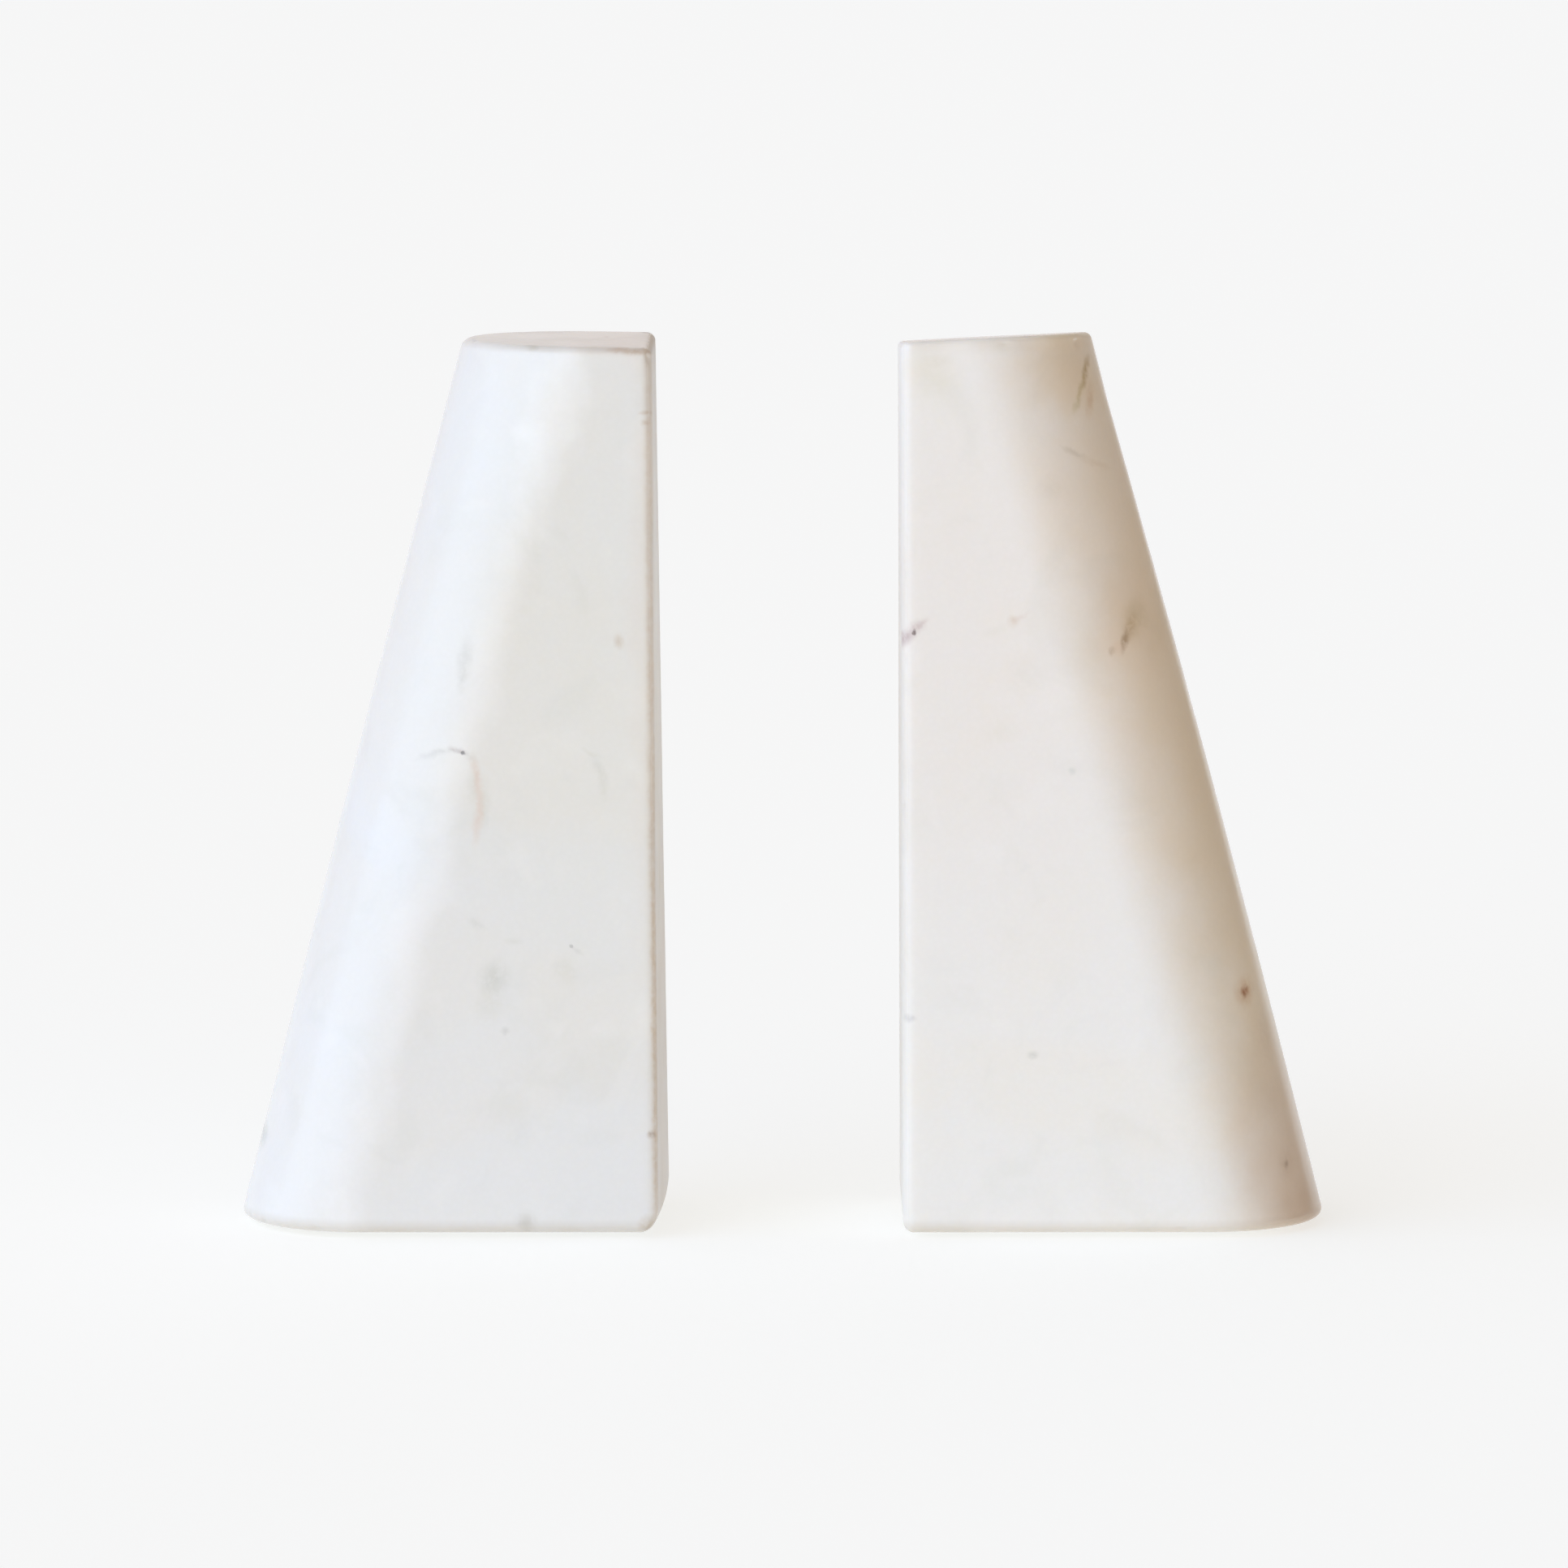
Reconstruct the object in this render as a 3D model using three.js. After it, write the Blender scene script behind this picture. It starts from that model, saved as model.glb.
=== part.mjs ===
// A pair of solid marble book ends. Each one is a tapering block with a D-shaped plan: a flat, upright
// book face, flat front and back faces, and a half-round outer end that slants in towards the top.
// Four thin self-adhesive rubber feet lie under each block.
//
// Millimetres, +Z up. The origin is on the resting plane, midway between the two book faces.
// +X runs along the shelf and +Y from the front of the pair to the back.

import * as THREE from "three";

// Driving dimensions
const OVERALL_HEIGHT = 177.8; // resting plane to top face
const BLOCK_DEPTH = 50.8; // front face to back face
const BASE_LENGTH = 86; // book face to the tip of the round end, at the underside
const TOP_LENGTH = 38; // the same, at the top face
const BOOK_SPACE = 48; // between the two book faces

const ARRIS_RADIUS = 1.8; // softened edge round the top face and the underside
const CORNER_RADIUS = 2.2; // softened upright edges beside the book face

const FOOT_DIAMETER = 10;
const FOOT_THICKNESS = 1;
const FOOT_EDGE = 0.2; // chamfer round a foot's lower rim
const FOOT_CLEARANCE = 0.3; // between a foot and the stone, where the adhesive lies
const FOOT_INNER_OFFSET = 14; // book face to the centre of the two nearer feet
const FOOT_OUTER_OFFSET = 64; // book face to the centre of the two farther feet
const FOOT_HALF_SPREAD = 10; // mid-depth of the block to a foot's centre

// Fineness of the curves
const END_STEPS = 32;
const CORNER_STEPS = 4;
const ARRIS_STEPS = 4;
const FOOT_SEGMENTS = 40;

// Sizes that follow from the driving dimensions
const BLOCK_UNDERSIDE = FOOT_THICKNESS + FOOT_CLEARANCE;
const BLOCK_HEIGHT = OVERALL_HEIGHT - BLOCK_UNDERSIDE;
const END_RADIUS = BLOCK_DEPTH / 2;
const QUARTER_TURN = Math.PI / 2;

const marble = new THREE.MeshStandardMaterial({ color: 0xe9e7e2, roughness: 0.22, metalness: 0 });
const footRubber = new THREE.MeshStandardMaterial({ color: 0xd9d8d2, roughness: 0.55, metalness: 0 });

function arcPoints(centreX, centreY, radius, startAngle, endAngle, steps) {
  const arc = new THREE.EllipseCurve(centreX, centreY, radius, radius, startAngle, endAngle);
  return arc.getPoints(steps);
}

// The D-shaped section, anticlockwise from above: half-round end, then the two corners at the book face.
// The book face lies on x = 0. The inset draws the whole outline in, for the softened top and bottom edges.
function sectionOutline(length, inset) {
  const cornerY = END_RADIUS - CORNER_RADIUS;
  const cornerRadius = CORNER_RADIUS - inset;
  return [
    ...arcPoints(length - END_RADIUS, 0, END_RADIUS - inset, -QUARTER_TURN, QUARTER_TURN, END_STEPS),
    ...arcPoints(CORNER_RADIUS, cornerY, cornerRadius, QUARTER_TURN, 2 * QUARTER_TURN, CORNER_STEPS),
    ...arcPoints(CORNER_RADIUS, -cornerY, cornerRadius, 2 * QUARTER_TURN, 3 * QUARTER_TURN, CORNER_STEPS),
  ];
}

// Heights of the sections, from the underside up, with each one's inset: close together where the edge
// is rounded, and none between, because the faces there are straight.
function sectionLevels() {
  const lower = [];
  for (let step = 0; step <= ARRIS_STEPS; step += 1) {
    const angle = (QUARTER_TURN * step) / ARRIS_STEPS;
    lower.push({
      height: ARRIS_RADIUS * (1 - Math.cos(angle)),
      inset: ARRIS_RADIUS * (1 - Math.sin(angle)),
    });
  }
  const upper = lower.map(({ height, inset }) => ({ height: BLOCK_HEIGHT - height, inset }));
  return [...lower, ...upper.reverse()];
}

// A closed skin through outlines that all have the same number of points, with a fan over each end.
function skinOutlines(levels) {
  const positions = [];
  const indices = [];
  const count = levels[0].outline.length;

  for (const { outline, height } of levels) {
    for (const point of outline) {
      positions.push(point.x, point.y, height);
    }
  }
  for (let level = 0; level + 1 < levels.length; level += 1) {
    const lower = level * count;
    const upper = lower + count;
    for (let i = 0; i < count; i += 1) {
      const next = (i + 1) % count;
      indices.push(lower + i, lower + next, upper + next);
      indices.push(lower + i, upper + next, upper + i);
    }
  }

  const topStart = (levels.length - 1) * count;
  const underCentre = levels.length * count;
  const topCentre = underCentre + 1;
  positions.push(END_RADIUS, 0, levels[0].height);
  positions.push(TOP_LENGTH / 2, 0, levels[levels.length - 1].height);
  for (let i = 0; i < count; i += 1) {
    const next = (i + 1) % count;
    indices.push(underCentre, next, i);
    indices.push(topCentre, topStart + i, topStart + next);
  }

  const geometry = new THREE.BufferGeometry();
  geometry.setAttribute("position", new THREE.Float32BufferAttribute(positions, 3));
  geometry.setIndex(indices);
  geometry.computeVertexNormals();
  return geometry;
}

function blockGeometry() {
  const levels = sectionLevels().map(({ height, inset }) => {
    const length = BASE_LENGTH + ((TOP_LENGTH - BASE_LENGTH) * height) / BLOCK_HEIGHT;
    return { height, outline: sectionOutline(length, inset) };
  });
  return skinOutlines(levels);
}

// A flat disc with a chamfered lower rim, resting on z = 0.
function footGeometry() {
  const radius = FOOT_DIAMETER / 2;
  const profile = [
    new THREE.Vector2(0, 0),
    new THREE.Vector2(radius - FOOT_EDGE, 0),
    new THREE.Vector2(radius, FOOT_EDGE),
    new THREE.Vector2(radius, FOOT_THICKNESS),
    new THREE.Vector2(0, FOOT_THICKNESS),
  ];
  const geometry = new THREE.LatheGeometry(profile, FOOT_SEGMENTS);
  geometry.rotateX(QUARTER_TURN);
  return geometry;
}

function namedMesh(name, geometry, material) {
  const mesh = new THREE.Mesh(geometry, material);
  mesh.name = name;
  return mesh;
}

// One book end, with its book face on x = 0 and its round end towards +X. frontSign says which way the
// front of the pair lies along this book end's own Y axis.
function bookEnd(side, frontSign) {
  const group = new THREE.Group();

  const block = namedMesh(`${side}_marble_block`, blockGeometry(), marble);
  block.position.z = BLOCK_UNDERSIDE;
  group.add(block);

  for (const [alongName, offset] of [["inner", FOOT_INNER_OFFSET], ["outer", FOOT_OUTER_OFFSET]]) {
    for (const [acrossName, sign] of [["front", frontSign], ["back", -frontSign]]) {
      const foot = namedMesh(`${side}_foot_${acrossName}_${alongName}`, footGeometry(), footRubber);
      foot.position.set(offset, sign * FOOT_HALF_SPREAD, 0);
      group.add(foot);
    }
  }
  return group;
}

// The right book end stands as drawn. The left one is the same piece turned half round, so that the
// two book faces look at each other across the book space.
const rightBookEnd = bookEnd("right", -1);
rightBookEnd.position.x = BOOK_SPACE / 2;

const leftBookEnd = bookEnd("left", 1);
leftBookEnd.position.x = -BOOK_SPACE / 2;
leftBookEnd.rotation.z = Math.PI;

const group = new THREE.Group();
group.add(leftBookEnd, rightBookEnd);

export default group;
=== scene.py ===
import math

import bmesh
import bpy
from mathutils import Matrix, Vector, noise


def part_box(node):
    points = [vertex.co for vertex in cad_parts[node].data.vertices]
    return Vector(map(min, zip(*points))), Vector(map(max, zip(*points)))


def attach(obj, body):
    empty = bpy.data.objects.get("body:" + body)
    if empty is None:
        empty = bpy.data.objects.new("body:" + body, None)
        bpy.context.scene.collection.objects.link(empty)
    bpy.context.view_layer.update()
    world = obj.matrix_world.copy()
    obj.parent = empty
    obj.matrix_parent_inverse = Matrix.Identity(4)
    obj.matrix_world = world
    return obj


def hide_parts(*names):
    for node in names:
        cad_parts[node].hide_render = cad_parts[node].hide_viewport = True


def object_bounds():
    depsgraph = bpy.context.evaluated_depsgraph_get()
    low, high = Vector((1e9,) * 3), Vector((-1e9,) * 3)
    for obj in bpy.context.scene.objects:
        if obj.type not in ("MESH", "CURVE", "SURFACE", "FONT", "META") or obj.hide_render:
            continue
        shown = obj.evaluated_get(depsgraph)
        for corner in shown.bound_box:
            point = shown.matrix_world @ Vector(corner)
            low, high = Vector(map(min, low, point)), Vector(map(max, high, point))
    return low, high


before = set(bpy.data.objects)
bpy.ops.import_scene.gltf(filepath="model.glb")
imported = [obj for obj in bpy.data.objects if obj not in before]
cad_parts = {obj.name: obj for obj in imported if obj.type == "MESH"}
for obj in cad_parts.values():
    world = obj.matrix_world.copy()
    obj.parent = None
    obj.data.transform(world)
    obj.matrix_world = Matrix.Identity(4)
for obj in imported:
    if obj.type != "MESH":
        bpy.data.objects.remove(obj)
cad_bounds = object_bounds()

# A pair of solid marble book ends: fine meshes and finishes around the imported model. Metres, +Z up,
# +X along the shelf, the front of the pair towards -Y.

MM = 0.001


def add_object(name, data):
    """A new object in the scene, around this data."""
    obj = bpy.data.objects.new(name, data)
    bpy.context.scene.collection.objects.link(obj)
    return obj


# ---------------------------------------------------------------------------------------------
# The camera. It looks almost squarely at the front, from a little above.
# ---------------------------------------------------------------------------------------------
CAMERA_LENS = 196.1  # mm, as Blender takes it
CAMERA_SENSOR = 36.0  # mm, as Blender takes it
CAMERA_DISTANCE = 1.7119
CAMERA_ELEVATION = math.radians(6.75)
CAMERA_SIDESTEP = 0.7 * MM
CAMERA_DROP = 0.59 * MM
CAMERA_REACH = 200.0  # how far it sees


def add_camera():
    low, high = cad_bounds
    centre = (Vector(low) + Vector(high)) / 2
    centre.x += CAMERA_SIDESTEP
    centre.z -= CAMERA_DROP
    data = bpy.data.cameras.new("camera")
    data.lens = CAMERA_LENS
    data.sensor_width = CAMERA_SENSOR
    data.clip_end = CAMERA_REACH
    camera = add_object("camera", data)
    outward = Vector((0, -math.cos(CAMERA_ELEVATION), math.sin(CAMERA_ELEVATION)))
    camera.location = centre + outward * CAMERA_DISTANCE
    camera.rotation_euler = outward.to_track_quat("Z", "Y").to_euler()
    bpy.context.scene.camera = camera


# ---------------------------------------------------------------------------------------------
# The stones. Each is measured from its own CAD node, then cut a little out of true by hand.
# ---------------------------------------------------------------------------------------------
ARRIS_RADIUS = 1.8 * MM  # softened edge round the underside
TOP_ARRIS = {"left": 1.8 * MM, "right": 1.2 * MM}  # softened edge round the top face
CORNER_RADIUS = 2.2 * MM  # softened upright edges beside the book face
# The book face is rounded into the underside: how far in and how far up, and how far along the stone
# the underside is drawn along with it.
BOOK_FOOT = {"left": (4.0 * MM, 4.6 * MM), "right": (2.0 * MM, 2.4 * MM)}
BOOK_FOOT_REACH = 14 * MM

# Fineness of the mesh: round the outline, up the sides, and across the top face and the underside.
FLAT_STEPS = 56
END_STEPS = 88
CORNER_STEPS = 8
FACE_STEPS = 50
ARRIS_STEPS = 9
RISE_STEPS = 230
CAP_STEPS = 22
CAP_MARGIN = 0.55  # from either end of a flat face to where the line along its middle stops, in end radii
LEVEL_TOLERANCE = 0.01 * MM
WELD_DISTANCE = 0.002 * MM
SLIVER_LENGTH = 0.001 * MM

# How far each stone is out of true. lean: sideways per unit of height. shift: sideways as a whole.
# twist: how much further out the book face's back edge stands than its front edge, at the base.
# short_foot and swell: what the round end lacks at its foot and has too much of at mid-height. belly: how
# far the book face bulges at the base, at mid-depth. fall_back and fall_in: slopes of the top face, down
# towards the back and towards the book face. tall: extra height.
OUT_OF_TRUE = {
    "left": {"lean": -0.0097, "twist": 1.6 * MM, "shift": -0.4 * MM, "short_foot": 1.0 * MM,
             "swell": 0.0, "belly": 0.6 * MM, "fall_back": 0.0, "fall_in": 0.015, "tall": -0.1 * MM},
    "right": {"lean": -0.004, "twist": 0.0, "shift": 0.0, "short_foot": 0.95 * MM,
              "swell": 0.65 * MM, "belly": 0.0, "fall_back": 0.06, "fall_in": 0.052, "tall": 0.25 * MM},
}
TOP_REACH = 12 * MM  # how far below the top face its slope is taken up
FACE_REACH = 1.2  # how far along the stone its twist and belly are taken up, in end radii


class Stone:
    """The true D-shaped block of one book end, measured from its CAD node."""

    def __init__(self, side):
        self.side = side
        self.name = f"{side}_marble_block"
        self.sign = 1 if side == "right" else -1
        low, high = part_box(self.name)
        self.bottom = low.z
        self.height = high.z - low.z
        self.end_radius = (high.y - low.y) / 2
        self.face = min(abs(low.x), abs(high.x))
        corners = [v.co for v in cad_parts[self.name].data.vertices]
        self.top_length = self.reach(corners, high.z)
        self.base_length = self.reach(corners, low.z)

    def reach(self, corners, height):
        """From the book face to the tip of the round end, at the sharp edge of a flat face."""
        level = [abs(c.x) for c in corners if abs(c.z - height) < LEVEL_TOLERANCE]
        return max(level) - self.face + ARRIS_RADIUS

    def length_at(self, rise):
        return self.base_length + (self.top_length - self.base_length) * rise / self.height


def arc(centre, radius, start, end, steps):
    """Points along an arc, without its last one."""
    points = []
    for i in range(steps):
        angle = start + (end - start) * i / steps
        points.append((centre[0] + radius * math.cos(angle), centre[1] + radius * math.sin(angle)))
    return points


def straight(start, end, steps):
    """Points along a line, without its last one."""
    points = []
    for i in range(steps):
        t = i / steps
        points.append((start[0] + (end[0] - start[0]) * t, start[1] + (end[1] - start[1]) * t))
    return points


def section(stone, length, inset):
    """The D-shaped outline, anticlockwise from the front book-face corner. x starts at the book face."""
    half = stone.end_radius
    end_centre = length - half
    corner_y = half - CORNER_RADIUS
    edge = half - inset
    corner = CORNER_RADIUS - inset
    quarter = math.pi / 2
    points = straight((CORNER_RADIUS, -edge), (end_centre, -edge), FLAT_STEPS)
    points += arc((end_centre, 0), edge, -quarter, quarter, END_STEPS)
    points += straight((end_centre, edge), (CORNER_RADIUS, edge), FLAT_STEPS)
    points += arc((CORNER_RADIUS, corner_y), corner, quarter, 2 * quarter, CORNER_STEPS)
    points += straight((inset, corner_y), (inset, -corner_y), FACE_STEPS)
    points += arc((CORNER_RADIUS, -corner_y), corner, 2 * quarter, 3 * quarter, CORNER_STEPS)
    return points


def rises(stone):
    """(height above the underside, inset of the outline) of each level, from the underside up."""
    radius = TOP_ARRIS[stone.side]
    lower = []
    upper = []
    for i in range(ARRIS_STEPS + 1):
        angle = math.pi / 2 * i / ARRIS_STEPS
        in_level, in_outline = 1 - math.cos(angle), 1 - math.sin(angle)
        lower.append((ARRIS_RADIUS * in_level, ARRIS_RADIUS * in_outline))
        upper.insert(0, (stone.height - radius * in_level, radius * in_outline))
    span = stone.height - ARRIS_RADIUS - radius
    middle = [(ARRIS_RADIUS + span * i / RISE_STEPS, 0.0) for i in range(1, RISE_STEPS)]
    return lower + middle + upper


def cap_rings(stone, outline, length):
    """Outlines that shrink from the edge of a flat face to the line along its middle."""
    margin = stone.end_radius * CAP_MARGIN
    rings = []
    for i in range(1, CAP_STEPS + 1):
        t = i / CAP_STEPS
        ring = []
        for x, y in outline:
            middle = min(max(x, margin), length - margin)
            ring.append((x + (middle - x) * t, y * (1 - t)))
        rings.append(ring)
    return rings


def stone_levels(stone):
    """The rings of the skin, from the middle of the underside, up the sides to the middle of the top."""
    levels = [(rise, section(stone, stone.length_at(rise), inset)) for rise, inset in rises(stone)]
    under = cap_rings(stone, levels[0][1], stone.length_at(0))
    over = cap_rings(stone, levels[-1][1], stone.length_at(stone.height))
    under = [(0.0, ring) for ring in reversed(under)]
    over = [(stone.height, ring) for ring in over]
    return under + levels + over


def rounded_off(depth, height, rise):
    """How far in the skin lies at this rise, with the lower edge rounded by this depth and height."""
    short = max(0.0, 1 - rise / height)
    return depth * (1 - math.sqrt(1 - short ** 2))


def out_of_true(stone, x, y, rise):
    """Where a point of the true block lies on the hand-cut one, in the row frame."""
    cut = OUT_OF_TRUE[stone.side]
    usual = rounded_off(ARRIS_RADIUS, ARRIS_RADIUS, rise)
    extra = rounded_off(*BOOK_FOOT[stone.side], rise) - usual
    x += extra * max(0.0, 1 - x / BOOK_FOOT_REACH)
    share = rise / stone.height
    world_x = stone.sign * (stone.face + x) + cut["shift"]
    world_x += cut["lean"] * (rise - stone.height / 2)
    end_trim = cut["swell"] * math.sin(math.pi * share) - cut["short_foot"] * (1 - share) ** 2
    world_x += stone.sign * end_trim * x / stone.length_at(rise)
    near_face = max(0.0, 1 - x / (stone.end_radius * FACE_REACH))
    across = y / stone.end_radius
    world_x -= stone.sign * cut["twist"] * near_face * (1 - share) * across / 2
    world_x -= stone.sign * cut["belly"] * near_face * (1 - share) ** 2 * (1 - across ** 2)
    near_top = max(0.0, 1 - (stone.height - rise) / TOP_REACH)
    slope = -cut["fall_back"] * y + cut["fall_in"] * (x - stone.top_length / 2)
    return Vector((world_x, y, stone.bottom + rise + (slope + cut["tall"]) * near_top))


def loft(name, rings):
    """A closed body through rings of equally many points, its end rings shrunk to a line or point."""
    mesh = bmesh.new()
    rows = [[mesh.verts.new(p) for p in ring] for ring in rings]
    count = len(rows[0])
    for lower, upper in zip(rows, rows[1:]):
        for i in range(count):
            j = (i + 1) % count
            mesh.faces.new((lower[i], lower[j], upper[j], upper[i]))
    bmesh.ops.remove_doubles(mesh, verts=mesh.verts, dist=WELD_DISTANCE)
    bmesh.ops.dissolve_degenerate(mesh, edges=mesh.edges, dist=SLIVER_LENGTH)
    bmesh.ops.recalc_face_normals(mesh, faces=mesh.faces)
    for face in mesh.faces:
        face.smooth = True
    data = bpy.data.meshes.new(name)
    mesh.to_mesh(data)
    mesh.free()
    return add_object(name, data)


# Hand polishing leaves broad, shallow waves; the edges wear a little and lose a grain here and there.
WAVE_SIZE = 38 * MM
WAVE_DEPTH = 0.07 * MM
WEAR_SIZE = 26 * MM
WEAR_DEPTH = 0.14 * MM
NICK_SIZE = 2.6 * MM
NICK_LEVEL = 0.5  # nicks are where the noise is above this
NICK_SLOPE = 2 * MM  # their depth for each unit above it
NOISE_APART = 3.7  # how far up or down each stone's own noise is read
EDGE_BAND = 2.2 * ARRIS_RADIUS  # how far onto the faces an edge's wear runs
FLAT_BELOW = 0.5 * MM  # the underside keeps clear of waves and nicks up to this rise
BOOK_FACE_DEPTH = 1.5 * MM  # how deep the book face's own finish fades out


def edge_share(stone, x, y, rise):
    """1 on the softened edges, falling to 0 a little way onto the faces beside them."""
    to_level = min(rise, stone.height - rise)
    length = stone.length_at(rise)
    beyond = max(0.0, x - (length - stone.end_radius))
    to_side = min(x, stone.end_radius - math.hypot(beyond, y))
    to_upright = math.hypot(x, stone.end_radius - abs(y))
    level_edge = math.hypot(max(to_level, 0), max(to_side, 0))
    near = min(level_edge, to_upright)
    return max(0.0, 1 - near / EDGE_BAND)


def place_on_block(stone, point):
    """Roughly where a point of the hand-cut stone lies on the true block: x, y and rise."""
    cut = OUT_OF_TRUE[stone.side]
    rise = point.z - stone.bottom
    lean = cut["lean"] * (rise - stone.height / 2)
    return stone.sign * (point.x - cut["shift"] - lean) - stone.face, point.y, rise


def finish_by_hand(stone, mesh):
    """Waves, wears and nicks the skin, and stores each point's nearness to an edge and the book face."""
    wear = mesh.attributes.new("edge_wear_and_shade", "FLOAT", "POINT")
    book_face = mesh.attributes.new("book_face", "FLOAT", "POINT")
    normals = [v.normal.copy() for v in mesh.vertices]
    for vertex in mesh.vertices:
        x, y, rise = place_on_block(stone, vertex.co)
        share = edge_share(stone, x, y, rise)
        spot = vertex.co + Vector((0, 0, NOISE_APART * stone.sign))
        wave = noise.noise(spot / WAVE_SIZE) * WAVE_DEPTH
        worn = (0.5 + 0.5 * noise.noise(spot / WEAR_SIZE)) * WEAR_DEPTH * share
        nick = max(0.0, noise.noise(spot / NICK_SIZE) - NICK_LEVEL) * NICK_SLOPE * share
        if rise < FLAT_BELOW:
            wave = 0.0
            nick = 0.0
        vertex.co += normals[vertex.index] * (wave - worn - nick)
        wear.data[vertex.index].value = share
        book_face.data[vertex.index].value = max(0.0, 1 - x / BOOK_FACE_DEPTH)
    mesh.update()


def make_stone(side, material):
    stone = Stone(side)
    levels = stone_levels(stone)
    rings = [[out_of_true(stone, x, y, rise) for x, y in ring] for rise, ring in levels]
    obj = loft(f"{side}_stone", rings)
    finish_by_hand(stone, obj.data)
    obj.data.materials.append(material)
    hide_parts(stone.name)
    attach(obj, f"{side}_bookend")


# ---------------------------------------------------------------------------------------------
# Material nodes
# ---------------------------------------------------------------------------------------------
# Where a colour Mix node keeps its colours. Other sockets of the node have the same names.
MIX_A = 6
MIX_B = 7
MIX_RESULT = 2


class Nodes:
    """A short way to add and wire the nodes of one material or world."""

    def __init__(self, owner):
        owner.use_nodes = True
        self.owner = owner
        self.tree = owner.node_tree
        self.tree.nodes.clear()

    def add(self, kind, inputs=None, **settings):
        node = self.tree.nodes.new(kind)
        for key, value in settings.items():
            setattr(node, key, value)
        for key, value in (inputs or {}).items():
            self.put(node.inputs[key], value)
        return node

    def put(self, socket, value):
        if isinstance(value, bpy.types.NodeSocket):
            self.tree.links.new(value, socket)
        else:
            socket.default_value = value

    def noise(self, vector, scale, detail=2.0, roughness=0.5, distortion=0.0):
        inputs = {"Vector": vector, "Scale": scale, "Detail": detail}
        inputs.update({"Roughness": roughness, "Distortion": distortion})
        return self.add("ShaderNodeTexNoise", inputs).outputs["Fac"]

    def math(self, operation, a, b=0.0):
        node = self.add("ShaderNodeMath", operation=operation)
        self.put(node.inputs[0], a)
        self.put(node.inputs[1], b)
        return node.outputs[0]

    def span(self, value, low, high, to_low=0.0, to_high=1.0):
        """Maps low..high smoothly to to_low..to_high."""
        inputs = {"Value": value, "From Min": low, "From Max": high}
        inputs.update({"To Min": to_low, "To Max": to_high})
        return self.add("ShaderNodeMapRange", inputs, interpolation_type="SMOOTHSTEP").outputs["Result"]

    def mix(self, factor, a, b, blend="MIX"):
        node = self.add("ShaderNodeMix", data_type="RGBA", blend_type=blend)
        self.put(node.inputs["Factor"], factor)
        self.put(node.inputs[MIX_A], a)
        self.put(node.inputs[MIX_B], b)
        return node.outputs[MIX_RESULT]

    def tinted(self, cover, colour, tint):
        """The colour multiplied by this tint, as far as the cover says."""
        return self.mix(cover, colour, rgb(*tint), "MULTIPLY")

    def bump(self, height, strength, distance):
        inputs = {"Height": height, "Strength": strength, "Distance": distance}
        return self.add("ShaderNodeBump", inputs).outputs["Normal"]

    def surface(self, sockets):
        """The material's Principled surface, with these sockets wired or set."""
        shader = self.add("ShaderNodeBsdfPrincipled", sockets)
        self.add("ShaderNodeOutputMaterial", {"Surface": shader.outputs["BSDF"]})


def rgb(red, green, blue):
    return (red, green, blue, 1.0)


# The body colour of each stone, and what its clouds and crystal grain tint it with.
TONE = {"left": (0.818, 0.823, 0.823), "right": (0.868, 0.862, 0.845)}
WARM_CLOUD = (1.005, 0.99, 0.965)
GREY_CLOUD = (0.965, 0.97, 0.965)
MILK = (0.9, 0.9, 0.895)
GRAIN_TINT = (0.99, 0.99, 0.988)

# Noise in the marble. Of each: scale, detail, roughness, distortion. Then the range of noise over which
# it shows, and how much of it there is at the two ends of that range, where that isn't none and all.
WARM_NOISE = (22.0, 3.0, 0.5, 0.8)
WARM_RANGE = (0.38, 0.66)
GREY_NOISE = (48.0, 3.0, 0.55, 1.2)
GREY_RANGE = (0.5, 0.75)
MILK_NOISE = (90.0, 2.0, 0.5, 0.4)
MILK_RANGE = (0.55, 0.75, 0.0, 0.25)
GRAIN_SCALE = 900.0
GRAIN_RANGE = (0.1, 0.8)
BREAK_NOISE = (800.0, 3.0)
BREAK_RANGE = (0.3, 0.55, 0.55, 1.0)
# Patches of the edge brown, which is partly dirt and partly painted reflection and shade.
DIRT_AND_SHADE_NOISE = (60.0, 3.0)
DIRT_AND_SHADE_RANGE = (0.35, 0.7, 0.1, 0.7)
HAZE_NOISE = (70.0, 4.0)
HAZE_RANGE = (0.3, 0.7, 0.14, 0.22)  # the range of noise, then of roughness
RIPPLE_NOISE = (420.0, 3.0, 0.55)
NOISE_START = {"left": (0.31, 0.17, 0.53), "right": (0.83, 0.41, 0.29)}  # so that the stones differ

# How zones and marks are bent by noise: its scale, and how far it pushes them.
ZONE_BEND = (70.0, 14 * MM)
MARK_BEND = (420.0, 1.5 * MM)
BEND_DETAIL = 3.0
NOISE_MIDDLE = (0.5, 0.5, 0.5)

# Brown on the edges: partly dirt in the worn edges, partly painted reflection and shade of the dim warm
# room on the rounded edges. And painted shade, darker and browner, in the last few millimetres above the
# shelf.
DIRT_AND_SHADE_TINT = (0.92, 0.88, 0.83)
DIRT_AND_SHADE_EDGE = (0.5, 1.0)  # the range of edge_wear_and_shade over which it sets in
LOW_SHADE_TINT = (0.86, 0.83, 0.79)
LOW_SHADE_FADE = (2.0 * MM, 4.5 * MM)  # the heights where it is full and where it ends

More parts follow.
